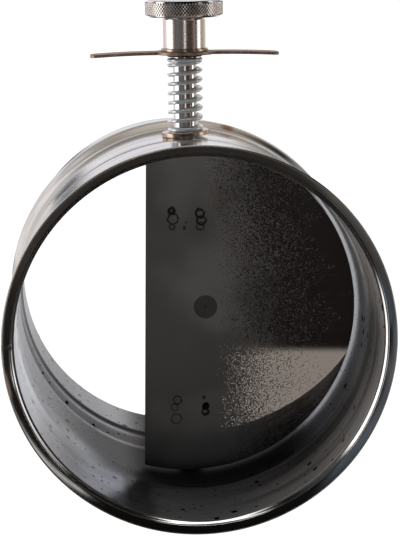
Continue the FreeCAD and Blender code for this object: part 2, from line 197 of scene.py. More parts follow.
def rolledSteel():
    # Cold-rolled stainless sheet, 2B. Outside it is a bright, slightly misty mirror with streaks
    # of the rolling. Inside it is hazed grey near the mouth, with painted light low down, on the
    # floor and on the +X side, and a painted dark reflection where the floor begins. Behind a line
    # it is dulled by a pale film with black soot specks. The film is paler from the bead on, where it
    # holds painted light in the bead's groove, and paler just inside its start. It is darker towards
    # the bottom, with painted shade in the crease at the spigot's step and under the plate's foot.
    # A heat mark on the bead and a planished weld down the -X side catch the eye outside.
    look = {
        "steel": "#c9c6c2", "cloud": "#adabab", "band": "#6f6c6a", "bandShare": 0.22,
        # the low, floor and +X wall colours are painted light; the dark patch's colour is a painted dark
        # reflection
        "wall": ("#858892", "#6c6e75"), "paintedLowLight": ("#9ca0aa", "#82858c"),
        "litWall": ("#e6ddd6", "#8f8884"), "floor": "#b4b4b6", "paintedDarkReflection": "#26262a", "wallShare": 0.75,
        # the pale film colour is partly painted light in the bead's groove; the next darkens the film
        # towards the bottom
        "film": ("#c4c5ca", "#94959b"), "paleAndPaintedLight": "#e2e3e8", "smoke": "#46464a", "shade": "#575656",
        "filmStart": -84, "filmSpread": 14, "creaseShade": -26,
        # the rubbed line's colour also paints the shade in the crease at the spigot's step
        "soot": "#0e0c0b", "rubAndCreaseShade": "#4a4844", "weld": "#6f6a66", "heat": "#8a4a2c",
        "heatPlace": (16.5, -38.5, 58.2),
        "edge": "#f4f4f4", "innerEdge": "#a4a6b0", "filmEdge": "#bfc1c8",
        "metallic": 1.0, "haze": 0.42, "sideHaze": 0.75, "filmHaze": 0.65, "shadeMetal": 0.35,
        "roughness": 0.1, "innerRoughness": 0.2, "filmRoughness": 0.42, "shadeRoughness": 0.8,
        "cloudSize": 9, "bandSize": 7, "mottleSize": 1.1, "grainSize": 0.3, "grainDepth": 0.005,
        "specks": ((1.5, 0.56, 0), (2.7, 0.34, 31), (5.2, 0.4, 57)),
        # where each mark begins and where it is full, in millimetres across, along or up
        "lowZ": (-28, -38), "floorX": (-20, -8), "litX": (5, 35), "sideX": (34, 50),
        "darkReflectionX": (-25, -22), "darkReflectionEnd": (-12, -17), "darkReflectionZ": (-44, -50), "filmX": (5, -40),
        "paleBack": (-46, -40), "paleFront": (-66, -76), "smokeY": (-43, -47), "smokeEnd": (-62, -78),
        "smokeTop": (-30, -42), "smokeLow": -52, "creaseHalf": (3, 1), "creaseZ": (-10, -50),
        "underX": (-26, -8), "underZ": (-36, -50), "rubHalf": (0.5, 0.1), "rubX": (-10, 10),
        "weldHalf": (1.3, 0.7), "weldX": (0, -10), "heatHalf": (3.4, 1.0),
    }
    finish, tree, shader, where = newFinish(
        "rolledStainless2B", look["steel"], look["roughness"], look["metallic"],
    )
    x, y, z = xyz(tree, where)
    mix, step = partial(blended, tree), partial(zone, tree)
    # outside: clouds and bands stretched round the tube, the way the sheet was rolled
    cloud = grain(tree, where, look["cloudSize"], 3, 0.6, stretch=(0.35, 3, 0.35))
    band = between(tree, grain(tree, where, look["bandSize"], 2, 0.6, stretch=(0.06, 1, 0.06)), 0.38, 0.62)
    colour = mix(between(tree, cloud, 0.35, 0.7), look["steel"], look["cloud"])
    colour = mix(product(tree, band, look["bandShare"]), colour, look["band"])
    side = addNode(tree, "ShaderNodeNewGeometry").outputs["Normal"]
    inside = step(vectorNode(tree, "DOT_PRODUCT", side, where, "Value"), (2, -2))

    # inside near the mouth: painted light, paler low down, pale on the floor and brightest on the
    # +X side, and a painted dark reflection where the floor begins
    wall = mix(band, *look["wall"])
    wall = mix(step(z, look["lowZ"]), wall, mix(band, *look["paintedLowLight"]))
    # painted light on the tube's floor
    wall = mix(step(x, look["floorX"]), wall, look["floor"])
    # painted dark reflection where the floor begins
    paintedDarkReflection = product(tree, step(x, look["darkReflectionX"]), step(x, look["darkReflectionEnd"], 0.0, 0.8), step(z, look["darkReflectionZ"]))
    wall = mix(paintedDarkReflection, wall, look["paintedDarkReflection"])
    wall = mix(step(x, look["litX"]), wall, mix(band, *look["litWall"]))
    colour = mix(product(tree, inside, look["wallShare"]), colour, wall)

    # the film starts at a sharp line on the +X side and fades in over the -X side
    fade = step(x, look["filmX"], 0.3 * mm, look["filmSpread"] * mm)
    begin = less(tree, look["filmStart"] * mm, fade)
    film = product(tree, inside, between(tree, y, begin, total(tree, look["filmStart"] * mm, fade)))
    mottle = grain(tree, where, look["mottleSize"], 4, 0.7)
    dust = mix(between(tree, mottle, 0.35, 0.7), *look["film"])
    # paler from the bead on, partly painted light in the bead's groove, and paler just inside the
    # film's start; darker towards the bottom between them
    pale = largest(tree, step(y, look["paleBack"]), step(y, look["paleFront"]))
    dust = mix(product(tree, pale, 0.6), dust, look["paleAndPaintedLight"])
    # darker towards the bottom, between the pale bands, also in the edge tint
    top = step(y, look["smokeEnd"], look["smokeTop"][0] * mm, look["smokeTop"][1] * mm)
    smoke = between(tree, z, top, look["smokeLow"] * mm, 0.0, 0.9)
    smoke = product(tree, smoke, step(y, look["smokeY"]))
    dust = mix(smoke, dust, look["smoke"])
    # painted shade in the crease at the step down to the spigot, low on the wall
    creaseShade = step(distance(tree, y, look["creaseShade"] * mm), look["creaseHalf"])
    creaseShade = product(tree, creaseShade, step(z, look["creaseZ"], 0.0, 0.75))
    dust = mix(creaseShade, dust, look["rubAndCreaseShade"])
    # under the plate's foot little light comes in
    under = product(tree, step(x, look["underX"]), step(z, look["underZ"], 0.0, 0.95))
    colour = mix(film, colour, mix(under, dust, look["shade"]))
    rubbed = step(distance(tree, y, look["filmStart"] * mm), look["rubHalf"], 0.0, 0.6)
    rubbed = product(tree, inside, rubbed, step(x, look["rubX"]))
    colour = mix(rubbed, colour, look["rubAndCreaseShade"])
    specks = product(tree, sootSpecks(tree, where, look["specks"]), inside)
    colour = mix(specks, colour, look["soot"])

    weld = product(tree, step(mathNode(tree, "ABSOLUTE", z), look["weldHalf"]), step(x, look["weldX"]))
    colour = mix(product(tree, weld, 0.7), colour, look["weld"])
    spot = vectorNode(tree, "DISTANCE", where, [part * mm for part in look["heatPlace"]], "Value")
    colour = mix(step(spot, look["heatHalf"], 0.0, 0.8), colour, look["heat"])
    feed(shader, "Base Color", colour)

    # dust makes the sheet less of a metal, and darkens what it mirrors at a low angle; the edge tint
    # also carries the painted dark reflection and the painted shade under the plate, and is darker
    # towards the bottom
    wallHaze = step(x, look["sideX"], look["haze"], look["sideHaze"])
    haze = largest(tree, product(tree, inside, wallHaze), product(tree, film, look["filmHaze"]))
    haze = product(tree, haze, less(tree, 1.0, product(tree, film, under, look["shadeMetal"])))
    feed(shader, "Metallic", less(tree, look["metallic"], haze))
    edge = mix(inside, look["edge"], mix(paintedDarkReflection, look["innerEdge"], look["paintedDarkReflection"]))
    filmEdge = mix(smoke, look["filmEdge"], look["smoke"])
    edge = mix(film, edge, mix(under, filmEdge, look["shade"]))
    feed(shader, "Specular Tint", mix(specks, edge, look["soot"]))
    roughness = between(tree, cloud, 0.3, 0.7, look["roughness"] * 0.7, look["roughness"] * 1.6)
    roughness = largest(tree, roughness, product(tree, inside, look["innerRoughness"]))
    dull = largest(tree, film, product(tree, weld, 0.5), specks)
    dullest = between(tree, under, 0.0, 1.0, look["filmRoughness"], look["shadeRoughness"])
    feed(shader, "Roughness", largest(tree, roughness, product(tree, dull, dullest)))
    fine = grain(tree, where, look["grainSize"], 3)
    raised(tree, shader, total(tree, fine, specks), look["grainDepth"])
    return finish


def weldMarks(tree, where, look):
    # wavering dark rings where the clips are spot welded, and a round spot with a dark centre
    noise = {"Vector": where, "Scale": 1 / (look["waverSize"] * mm), "Detail": 3, "Roughness": 0.7}
    waver = addNode(tree, "ShaderNodeTexNoise", noise).outputs["Color"]
    shift = vectorNode(tree, "SUBTRACT", waver, (0.5, 0.5, 0.5))
    shift = vectorNode(tree, "MULTIPLY", shift, [look["waver"] * mm] * 3)
    shaken = vectorNode(tree, "ADD", where, shift)
    marks = None
    for left, up, ring, width, weight in look["rings"]:
        centre = (left * mm, look["face"] * mm, up * mm)
        off = distance(tree, vectorNode(tree, "DISTANCE", shaken, centre, "Value"), ring * mm)
        line = zone(tree, off, (width, width * 0.4), 0.0, weight)
        marks = line if marks is None else largest(tree, marks, line)
    left, up = look["spot"]
    far = vectorNode(tree, "DISTANCE", where, (left * mm, look["face"] * mm, up * mm), "Value")
    spot = zone(tree, far, (4.2, 3.8), 0.0, 0.62)
    return largest(tree, marks, largest(tree, spot, zone(tree, far, (0.7, 0.2), 0.0, 0.9)))


def plateSteel():
    # Stainless sheet cut to a disc: dull satin on one side of the spindle, a smoked mirror on
    # the other, a border of fine dull flecks between them, and dark marks of the clips' welds.
    look = {
        "steel": "#9b9692", "satin": ("#828281", "#a2a1a0"), "brown": "#7a5a44", "mark": "#121110",
        "satinRoughness": 0.5, "mirrorRoughness": 0.012, "metallic": 0.85,
        "fleckSize": 0.25, "patchSize": 8, "patchy": 0.2, "blotchSize": 5, "cloudSize": 34,
        "start": 7, "end": 34, "rim": 54, "polished": 0.83, "slant": 6, "bow": 1.05, "relief": 0.002,
        "warmX": ((6, 13), (26, 14)), "face": -67.5, "waverSize": 1.6, "waver": 1.5, "spot": (5.7, 0.2),
        # across, up, radius, width and weight of each ring
        "rings": (
            (-5.3, 33.3, 0.9, 0.8, 0.9), (-5.0, 30.6, 1.7, 0.4, 0.8), (-5.2, 27.9, 0.9, 0.5, 0.6),
            (4.2, 32.2, 1.4, 0.55, 0.9), (4.6, 29.9, 1.5, 0.45, 0.9), (4.3, 27.9, 1.3, 0.4, 0.7),
            (-1.2, 27.4, 0.3, 0.5, 0.7), (-0.6, 29.3, 0.1, 0.4, 0.6),
            (-4.2, -31.9, 1.4, 0.3, 0.8), (-5.2, -34.4, 1.2, 0.3, 0.6), (-4.7, -38.4, 1.7, 0.3, 0.7),
            (4.9, -31.2, 0.2, 0.5, 0.9), (5.3, -34.3, 0.7, 0.9, 1.0), (5.3, -36.2, 1.0, 0.6, 0.9),
        ),
    }
    finish, tree, shader, where = newFinish(
        "cutStainlessSheet", look["steel"], look["satinRoughness"], look["metallic"],
    )
    parts = xyz(tree, where)
    x, z = parts["X"], parts["Z"]
    mix, step = partial(blended, tree), partial(zone, tree)
    cells = addNode(tree, "ShaderNodeTexVoronoi", {"Vector": where, "Scale": 1 / (look["fleckSize"] * mm)})
    fleck = addNode(tree, "ShaderNodeSeparateColor", {0: cells.outputs["Color"]}).outputs[0]
    patch = grain(tree, where, look["patchSize"], 3)
    # the share of cells that are polished: none on the left, nearly all on the right
    across = total(tree, x, between(tree, z, 0.0, 50 * mm, 0.0, look["slant"] * mm))
    share = total(
        tree, step(across, (look["start"], look["end"]), 0.0, look["polished"]),
        step(across, (look["end"] * 0.6, look["rim"]), 0.0, 0.2),
    )
    patchy = product(tree, less(tree, patch, 0.5), product(tree, share, look["patchy"]))
    share = total(tree, share, patchy)
    mirror = between(tree, less(tree, share, fleck), -0.03, 0.06)
    cloud = between(tree, grain(tree, where, look["cloudSize"], 2), 0.38, 0.62)
    colour = mix(mirror, mix(cloud, *look["satin"]), look["steel"])
    # warm blotches beside the border
    warm = product(tree, *(step(x, ends) for ends in look["warmX"]))
    warm = product(tree, between(tree, grain(tree, where, look["blotchSize"], 4), 0.5, 0.75), warm)
    colour = mix(product(tree, warm, 0.35), colour, look["brown"])
    marks = weldMarks(tree, where, look)
    colour = mix(marks, colour, look["mark"])
    feed(shader, "Base Color", colour)
    feed(shader, "Specular Tint", mix(marks, colour, look["mark"]))
    roughness = between(tree, mirror, 0.0, 1.0, look["satinRoughness"], look["mirrorRoughness"])
    feed(shader, "Roughness", roughness)
    # the mesh is flat, but its shading normal leans up to some 6 degrees towards the +X rim, as
    # on a slightly dished sheet, which shows in what the polished side mirrors
    bow = product(tree, product(tree, x, x), look["bow"] / (look["relief"] * mm))
    calm = step(across, (look["start"], look["end"]), 1.0, 0.2)
    fine = less(tree, product(tree, less(tree, grain(tree, where, 0.3, 3), 0.5), calm), marks)
    raised(tree, shader, total(tree, fine, bow), look["relief"])
    return finish


def turnedSteel(name, colour, roughness, stretch):
    # Turned stainless: fine lathe rings that pull each highlight into a line along the axis.
    finish, tree, shader, where = newFinish(name, colour, roughness)
    rings = grain(tree, where, 0.25, 2, 0.6, stretch=(0.02, 0.02, 1))
    shader.inputs["Anisotropic"].default_value = stretch
    roundTangent(tree, shader, where)
    roughened(tree, shader, rings, roughness * 0.8, roughness * 1.3)
    raised(tree, shader, rings, 0.001)
    return finish


def knurledSteel():
    # Knurled band of the turned knob: pale points, with painted shade in the grooves.
    look = {
        "steel": "#dcd3cd", "groove": "#6f6560", "point": "#ece3dd", "depths": (12.62, 12.92),
        "roughness": (0.17, 0.27), "metallic": 0.72,
    }
    finish, tree, shader, where = newFinish("knurledStainless", look["steel"], 0.2, look["metallic"])
    arm = vectorNode(tree, "SUBTRACT", where, (0, spindleY * mm, 0))
    level = vectorNode(tree, "MULTIPLY", arm, (1, 1, 0))
    radius = vectorNode(tree, "LENGTH", level, (0, 0, 0), "Value")
    # painted shade in the grooves against pale points, by distance from the axis
    colour = blended(tree, zone(tree, radius, look["depths"]), look["groove"], look["point"])
    feed(shader, "Base Color", colour)
    fine = grain(tree, where, 0.3, 3)
    roughened(tree, shader, fine, *look["roughness"])
    raised(tree, shader, fine, 0.001)
    return finish


def cutStrip(name, face, edge, dark, roughness, metallic):
    # Flat stainless with cut edges that the heat of the cut turned straw brown.
    finish, tree, shader, where = newFinish(name, face, roughness, metallic)
    facing = xyz(tree, addNode(tree, "ShaderNodeNewGeometry").outputs["Normal"])[2]
    flat = between(tree, mathNode(tree, "ABSOLUTE", facing), 0.5, 0.95)
    mottle = between(tree, grain(tree, where, 2.2, 4, 0.65, (1, 1, 3)), 0.35, 0.65)
    colour = blended(tree, flat, blended(tree, mottle, edge, dark), face)
    feed(shader, "Base Color", colour)
    feed(shader, "Specular Tint", blended(tree, 0.25, colour, "#ffffff"))
    fine = grain(tree, where, 0.25, 3)
    roughened(tree, shader, fine, roughness * 0.8, roughness * 1.25)
    raised(tree, shader, fine, 0.004)
    return finish


def clouded(name, look):
    # a finish whose colour and roughness vary with one soft cloud, over a fine relief
    finish, tree, shader, where = newFinish(name, look["colour"], look["roughness"][0], look["metallic"])
    cloud = grain(tree, where, look["size"], look["detail"])
    feed(shader, "Base Color", blended(tree, cloud, *look["clouds"]))
    roughened(tree, shader, cloud, *look["roughness"])
    fine = grain(tree, where, look["fineSize"]) if "fineSize" in look else cloud
    raised(tree, shader, fine, look["depth"])
    return finish


# Spring wire, zinc plated: bluish and a little cloudy, with broad soft highlights.
zincLook = {
    "colour": "#d3d8dd", "clouds": ("#eaeff3", "#f8fafb"), "size": 1.2, "detail": 3,
    "metallic": 0.36, "roughness": (0.18, 0.26), "fineSize": 0.3, "depth": 0.001,
}

# Spring seat, near black: dull and slightly fuzzy.
nearBlackSeatLook = {
    "colour": "#100e0d", "clouds": ("#0c0b0a", "#1d1a18"), "size": 0.5, "detail": 4,
    "metallic": 0.0, "roughness": (0.6, 0.85), "depth": 0.03,
}

finishes = {
    "duct": rolledSteel(),
    "plate": plateSteel(),
    "spindle": turnedSteel("groundBar", "#c9c5c2", 0.11, 0.4),
    "knob": turnedSteel("turnedStainless", "#cbc2bc", 0.15, 0.6),
    "knurl": knurledSteel(),
    "wire": clouded("zincPlatedWire", zincLook),
    "lever": cutStrip("cutStainlessStrip", "#a89384", "#c6ad9b", "#8c7668", 0.42, 0.6),
    "washer": cutStrip("stampedWasher", "#dad4cf", "#cfb9a6", "#ac9582", 0.24, 0.85),
    "clip": cutStrip("bentStainlessStrap", "#b3b0ac", "#a39b92", "#8d867e", 0.25, 1.0),
    "pin": turnedSteel("splitPinWire", "#b9b6b1", 0.25, 0.0),
    "seat": clouded("nearBlackSeat", nearBlackSeatLook),
}
print("finishes:", len(finishes))


def placed(name, data):
    # a new object in the scene
    thing = bpy.data.objects.new(name, data)
    bpy.context.scene.collection.objects.link(thing)
    return thing


def newPiece(name, mesh, finish, body):
    piece = placed(name, mesh)
    piece.data.materials.clear()
    piece.data.materials.append(finish)
    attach(piece, body)
    return piece


def applied(holder):
    # the mesh that an object's modifiers give; the object is removed
    bpy.context.view_layer.update()
    mesh = bpy.data.meshes.new_from_object(holder.evaluated_get(bpy.context.evaluated_depsgraph_get()))
    bpy.data.objects.remove(holder)
    return mesh


def settled(mesh, modifiers):
    # the mesh with its modifiers applied and its smooth normals weighted by face
    holder = placed("holder", mesh)
    for kind, settings in modifiers:
        modifier = holder.modifiers.new(kind, kind)
        for word, value in settings.items():
            setattr(modifier, word, value)
    mesh.shade_smooth()
    mesh.set_sharp_from_angle(angle=math.radians(40))
    weigh = holder.modifiers.new("weigh", "WEIGHTED_NORMAL")
    weigh.keep_sharp = True
    return applied(holder)


def softened(outline, steps=4):
    # an outline of (across, along) or (across, along, bend) with each bend made a small arc
    points = []
    for number, corner in enumerate(outline):
        here = Vector(corner[:2])
        if len(corner) < 3:
            points.append(here)
            continue
        before = (Vector(outline[number - 1][:2]) - here).normalized()
        after = (Vector(outline[(number + 1) % len(outline)][:2]) - here).normalized()
        half = before.angle(after) / 2
        centre = here + (before + after).normalized() * (corner[2] / math.sin(half))
        start = here + before * (corner[2] / math.tan(half)) - centre
        sweep = start.angle_signed(here + after * (corner[2] / math.tan(half)) - centre)
        for step in range(steps + 1):
            points.append(centre + Matrix.Rotation(-sweep * step / steps, 2) @ start)
    return points


def turnedMesh(name, outline, angles, seat):
    # a closed outline turned round an axis; seat gives the point for (radius, along, angle)
    work = bmesh.new()
    rows = []
    for across, along in outline:
        if across < 1e-6:
            rows.append([work.verts.new(seat(0, along, 0))] * len(angles))
        else:
            rows.append([work.verts.new(seat(across, along, angle)) for angle in angles])
    for number, row in enumerate(rows):
        below = rows[number - 1]
        for place in range(len(angles)):
            corners = [row[place - 1], row[place], below[place], below[place - 1]]
            corners = list(dict.fromkeys(corners))
            if len(corners) > 2:
                work.faces.new(corners)
    bmesh.ops.recalc_face_normals(work, faces=work.faces)
    mesh = bpy.data.meshes.new(name)
    return work, mesh


# Flue tube: one rolled sheet with a flared mouth, a socket, a stop bead and a spigot.
tubeSizes = {
    "wall": 0.8, "spigot": 57.4, "spigotLength": 25, "step": 1.2, "land": 2.8, "beadHalf": 7,
    "beadRise": 2.4, "barrel": 31, "swage": 6, "socket": 40, "slack": 0.4, "lip": 61.5,
    # each bend of the flare from the foot: lean before and after in degrees, and its radius,
    # or its length where the lean stays the same
    "flareBends": ((0, 43, 2.2), (43, 45, 16.0), (45, 26, 1.8), (26, 54, 0.4), (54, 62, 19.0)),
    "stepBend": 0.5, "swageBend": 3, "lipBend": 0.25, "endBend": 0.2,
    "hole": 4.05, "holePatch": 8.4, "holeFacets": 6.1, "holeRings": (0.3, 0.55, 0.78, 0.93, 1.0),
    "seamHalf": 0.9, "seamDepth": 0.05,
    "facets": 288, "bendRows": 8, "beadRows": 24, "barrelRows": 21, "rowPitch": 1.4,
}


def flareCurve(sizes):
    # the flare's (across, along, lean) from its foot, before it is fitted to the lip's radius
    rows = sizes["bendRows"]
    spot = Vector((0, 0))
    curve = []
    for first, last, size in sizes["flareBends"]:
        for step in range(rows):
            lean = math.radians(first + (last - first) * (step + 0.5) / rows)
            stride = size / rows if first == last else size * math.radians(abs(last - first)) / rows
            spot += Vector((math.sin(lean), -math.cos(lean))) * stride
            curve.append((spot.x, spot.y, math.radians(first + (last - first) * (step + 1) / rows)))
    return curve


def tubeOutline(sizes):
    # the sheet's inner face from spigot to mouth, then its outer face back again
    wall, bore = sizes["wall"], sizes["spigot"]
    beadCentre = -(sizes["spigotLength"] + sizes["step"] + sizes["land"] + sizes["beadHalf"])
    barrelEnd = beadCentre - sizes["beadHalf"] - sizes["barrel"]
    socketEnd = barrelEnd - sizes["swage"]
    mouth = socketEnd - sizes["socket"]
    flare = flareCurve(sizes)
    reach, depth = flare[-1][:2]
    fit = (sizes["lip"] - bore - sizes["slack"]) / reach
    foot = mouth - depth * fit

    def face(extra):
        line = [(bore - wall + extra, 0), (bore - wall + extra, -sizes["spigotLength"], sizes["stepBend"])]
        line += [(bore + extra, -sizes["spigotLength"] - sizes["step"], sizes["stepBend"])]
        half, rise, rows = sizes["beadHalf"], sizes["beadRise"], sizes["beadRows"]
        for step in range(rows + 1):  # two hollow arcs and a crown, as one wave of a cosine
            along = half - 2 * half * step / rows
            swell = rise * (0.5 + 0.5 * math.cos(math.pi * along / half))
            line.append((bore + extra + swell, beadCentre + along))
        rows, pitch = sizes["barrelRows"], sizes["rowPitch"]
        for step in range(1, rows + 1):  # barrel, with close rows across the spindle's holes
            along = spindleY + pitch * (rows + 1) / 2 - pitch * step
            if along > barrelEnd + 0.5:
                line.append((bore + extra, along))
        socket = bore + sizes["slack"] + extra
        line += [(bore + extra, barrelEnd, sizes["swageBend"]), (socket, socketEnd, sizes["swageBend"])]
        line += [(socket, socketEnd - sizes["socket"] / 5 * step) for step in range(1, 4)]
        return line

    inner, outer = face(0), face(wall)
    for line, extra in ((inner, 0), (outer, wall)):
        line.append((bore + sizes["slack"] + extra, foot))
        for across, along, lean in flare:
            way = Vector((math.cos(lean), math.sin(lean))) * extra
            line.append((bore + sizes["slack"] + across * fit + way.x, foot + along * fit + way.y))
        line[-1] = line[-1] + (sizes["lipBend"],)
        line[0] = line[0] + (sizes["endBend"],)
    return softened(inner + outer[::-1], 3)


def joinRings(work, first, second):
    # faces between two rings of points
    for place in range(len(first)):
        work.faces.new([first[place - 1], first[place], second[place], second[place - 1]])


def ringedHole(work, sizes, up, low, high):
    # a square patch of the wall between two radii is laid again as rings round the spindle's
    # hole, above or below; gives the hole's own ring
    half = sizes["holeFacets"] * 2 * math.pi / sizes["facets"]
    patch = []
    for facet in work.faces:
        middle = facet.calc_center_median()
        across = abs(math.atan2(middle.x, middle.z * up))
        if across < half and abs(middle.y - spindleY * mm) < sizes["holePatch"] * mm:
            if low * mm < math.hypot(middle.x, middle.z) < high * mm:
                patch.append(facet)
    radius = max(math.hypot(v.co.x, v.co.z) for v in patch[0].verts)
    inPatch = set(patch)
    border = [e for facet in patch for e in facet.edges if sum(f in inPatch for f in e.link_faces) == 1]
    bmesh.ops.delete(work, geom=patch, context="FACES")
    loop = {v for e in border if e.is_valid for v in e.verts}
    loop = sorted(loop, key=lambda v: math.atan2(v.co.y - spindleY * mm, v.co.x))
    flat = [Vector((math.atan2(v.co.x, v.co.z * up) * radius, v.co.y - spindleY * mm)) for v in loop]
    rings = [loop]
    for share in sizes["holeRings"]:
        ring = []
        for point in flat:
            spot = point.lerp(point.normalized() * sizes["hole"] * mm, share)
            turn = spot.x / radius
            place = (radius * math.sin(turn), spot.y + spindleY * mm, up * radius * math.cos(turn))
            ring.append(work.verts.new(place))
        rings.append(ring)
    for first, second in zip(rings, rings[1:]):
        joinRings(work, first, second)
    return rings[-1]


def makeTube(sizes):
    angles = [2 * math.pi / sizes["facets"] * number for number in range(sizes["facets"])]
    # closer facets where the weld runs
    offsets = [side * share * sizes["seamHalf"] / 3 for side in (-1, 1) for share in (1, 2, 3, 4)]
    fine = [math.pi + offset / sizes["spigot"] for offset in offsets]
    angles += [angle for angle in fine if min(abs(angle - known) for known in angles) > 1e-4]
    angles.sort()

    def seat(across, along, angle):
        off = abs((angle - math.pi) * sizes["spigot"]) / sizes["seamHalf"]
        groove = sizes["seamDepth"] * (0.5 + 0.5 * math.cos(math.pi * min(off, 1)))
        across -= groove
        return (across * math.cos(angle) * mm, along * mm, across * math.sin(angle) * mm)

    work, mesh = turnedMesh("flueTube", tubeOutline(sizes), angles, seat)
    middle = sizes["spigot"] + sizes["wall"] / 2
    for up in (1, -1):
        inner = ringedHole(work, sizes, up, 0, middle)
        outer = ringedHole(work, sizes, up, middle, sizes["lip"])
        joinRings(work, inner, outer)
    bmesh.ops.recalc_face_normals(work, faces=work.faces)
    work.to_mesh(mesh)
    work.free()
    tube = newPiece("flue_tube", settled(mesh, []), finishes["duct"], "duct")
    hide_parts("duct_body")


makeTube(tubeSizes)
print("tube made")


# Knob: neck and head turned in one piece; the head's band is knurled.
knobSizes = {
    "neck": 7.2, "head": 13.0, "base": 87.5, "neckTop": 98.0, "top": 103.5, "fillet": 1.0, "chamfer": 0.7,
    "thread": 3.05, "threadTop": 97.8, "knurlDepth": 0.4, "margin": 0.49, "around": 78, "rows": 6,
    "facets": 144,
}


def spindleSeat(across, along, angle):
    return (across * math.cos(angle) * mm, (spindleY + across * math.sin(angle)) * mm, along * mm)


def makeKnob(sizes):
    bar, head = sizes["neck"], sizes["head"]
    band = head - sizes["knurlDepth"]
    outline = softened([
        (sizes["thread"], sizes["base"]),
        (bar, sizes["base"], 0.15),
        (bar, sizes["neckTop"], sizes["fillet"]),
        (head - sizes["chamfer"], sizes["neckTop"], 0.12),
        (band, sizes["neckTop"] + sizes["chamfer"]),
        (band, sizes["top"] - sizes["chamfer"]),
        (head - sizes["chamfer"], sizes["top"], 0.12),
        (0, sizes["top"]),
        (0, sizes["threadTop"]),
        (sizes["thread"], sizes["threadTop"]),
    ], 5)
    angles = [2 * math.pi * number / sizes["facets"] for number in range(sizes["facets"])]
    work, mesh = turnedMesh("turnedKnob", outline, angles, spindleSeat)
    work.to_mesh(mesh)
    work.free()
    knob = newPiece("turned_knob", settled(mesh, []), finishes["knob"], "rotor")
    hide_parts("knob")


makeKnob(knobSizes)


def newTree(name, lengths, counts):
    # a geometry tree with named inputs, a finish among them, and one geometry output
    tree = bpy.data.node_groups.new(name, "GeometryNodeTree")
    for kind, labels in (("Float", lengths), ("Int", counts), ("Material", ("finish",))):
        for label in labels:
            tree.interface.new_socket(label, in_out="INPUT", socket_type="NodeSocket" + kind)
    tree.interface.new_socket("Geometry", in_out="OUTPUT", socket_type="NodeSocketGeometry")
    return tree, addNode(tree, "NodeGroupInput").outputs


def closed(tree, geometry, finish):
    # the tree's end: its geometry gets its finish
    dressed = addNode(tree, "GeometryNodeSetMaterial", {"Geometry": geometry, "Material": finish})
    addNode(tree, "NodeGroupOutput", {0: dressed.outputs[0]})
    return tree


def grown(name, tree, values):
    # the tree's result as a plain mesh
    holder = placed("holder", bpy.data.meshes.new("empty"))
    modifier = holder.modifiers.new("grow", "NODES")
    modifier.node_group = tree
    for item in tree.interface.items_tree:
        if item.in_out == "INPUT":
            modifier[item.identifier] = values[item.name]
    mesh = applied(holder)
    mesh.name = name
    return mesh


def knurlTree():
    # rows of small flat-topped diamonds on a band, every second row shifted by half a diamond
    tree, sizes = newTree("knurledBand", ("radius", "low", "high", "depth"), ("around", "rows"))
    line = addNode(tree, "GeometryNodePoints", {"Count": product(tree, sizes["around"], sizes["rows"])})
    index = addNode(tree, "GeometryNodeInputIndex").outputs[0]
    row = mathNode(tree, "FLOOR", mathNode(tree, "DIVIDE", index, sizes["around"]))
    shift = product(tree, mathNode(tree, "MODULO", row, 2.0), 0.5)
    place = total(tree, mathNode(tree, "MODULO", index, sizes["around"]), shift)
    angle = mathNode(tree, "DIVIDE", product(tree, place, 2 * math.pi), sizes["around"])
    band = less(tree, sizes["high"], sizes["low"])
    rise = mathNode(tree, "DIVIDE", band, total(tree, sizes["rows"], 1.0))
    height = total(tree, sizes["low"], product(tree, rise, total(tree, row, 1.0)))
    out = {0: mathNode(tree, "COSINE", angle), 1: mathNode(tree, "SINE", angle)}
    out = addNode(tree, "ShaderNodeCombineXYZ", out).outputs[0]
    onBand = vectorNode(tree, "MULTIPLY", out, sizes["radius"])
    spot = vectorNode(tree, "ADD", onBand, addNode(tree, "ShaderNodeCombineXYZ", {2: height}).outputs[0])
    points = addNode(tree, "GeometryNodeSetPosition", {"Geometry": line.outputs[0], "Position": spot})
    diamond = {"Vertices": 4, "Radius Top": 0.6, "Radius Bottom": 1.0, "Depth": 1.0}
    diamond = addNode(tree, "GeometryNodeMeshCone", diamond)
    facing = addNode(
        tree, "FunctionNodeAxesToRotation", {0: out, 1: (0, 0, 1)}, primary_axis="Z", secondary_axis="Y",
    )
    half = mathNode(tree, "DIVIDE", product(tree, sizes["radius"], math.pi), sizes["around"])
    size = addNode(tree, "ShaderNodeCombineXYZ", {0: half, 1: rise, 2: sizes["depth"]})
    spread = addNode(tree, "GeometryNodeInstanceOnPoints", {
        "Points": points.outputs[0], "Instance": diamond.outputs[0],
        "Rotation": facing.outputs[0], "Scale": size.outputs[0],
    })
    real = addNode(tree, "GeometryNodeRealizeInstances", {0: spread.outputs[0]})
    return closed(tree, real.outputs[0], sizes["finish"])


def makeKnurl(sizes):
    mesh = grown("knurl", knurlTree(), {
        "around": sizes["around"], "rows": sizes["rows"],
        "radius": (sizes["head"] - sizes["knurlDepth"]) * mm, "depth": sizes["knurlDepth"] * mm,
        "low": (sizes["neckTop"] + sizes["margin"]) * mm, "high": (sizes["top"] - sizes["margin"]) * mm,
        "finish": finishes["knurl"],
    })
    mesh.transform(Matrix.Translation((0, spindleY * mm, 0)))
    newPiece("knob_knurl", mesh, finishes["knurl"], "rotor")
    print("knurl faces:", len(mesh.polygons))


makeKnurl(knobSizes)


# Spring: right-handed wire. Half a turn lies on the leaning washer, half a turn leads off it,
# then the open turns, and the last turn closes up under the seat.
springSizes = {
    "wire": 1.3, "outer": 6.0, "washerTop": 59.7, "lean": 3.5, "lift": 0.1, "reach": 25.0, "slack": 0.3,
    "lead": 2.1, "openTurns": 6.5, "closedRise": 0.45, "sides": 20, "steps": 540,
}


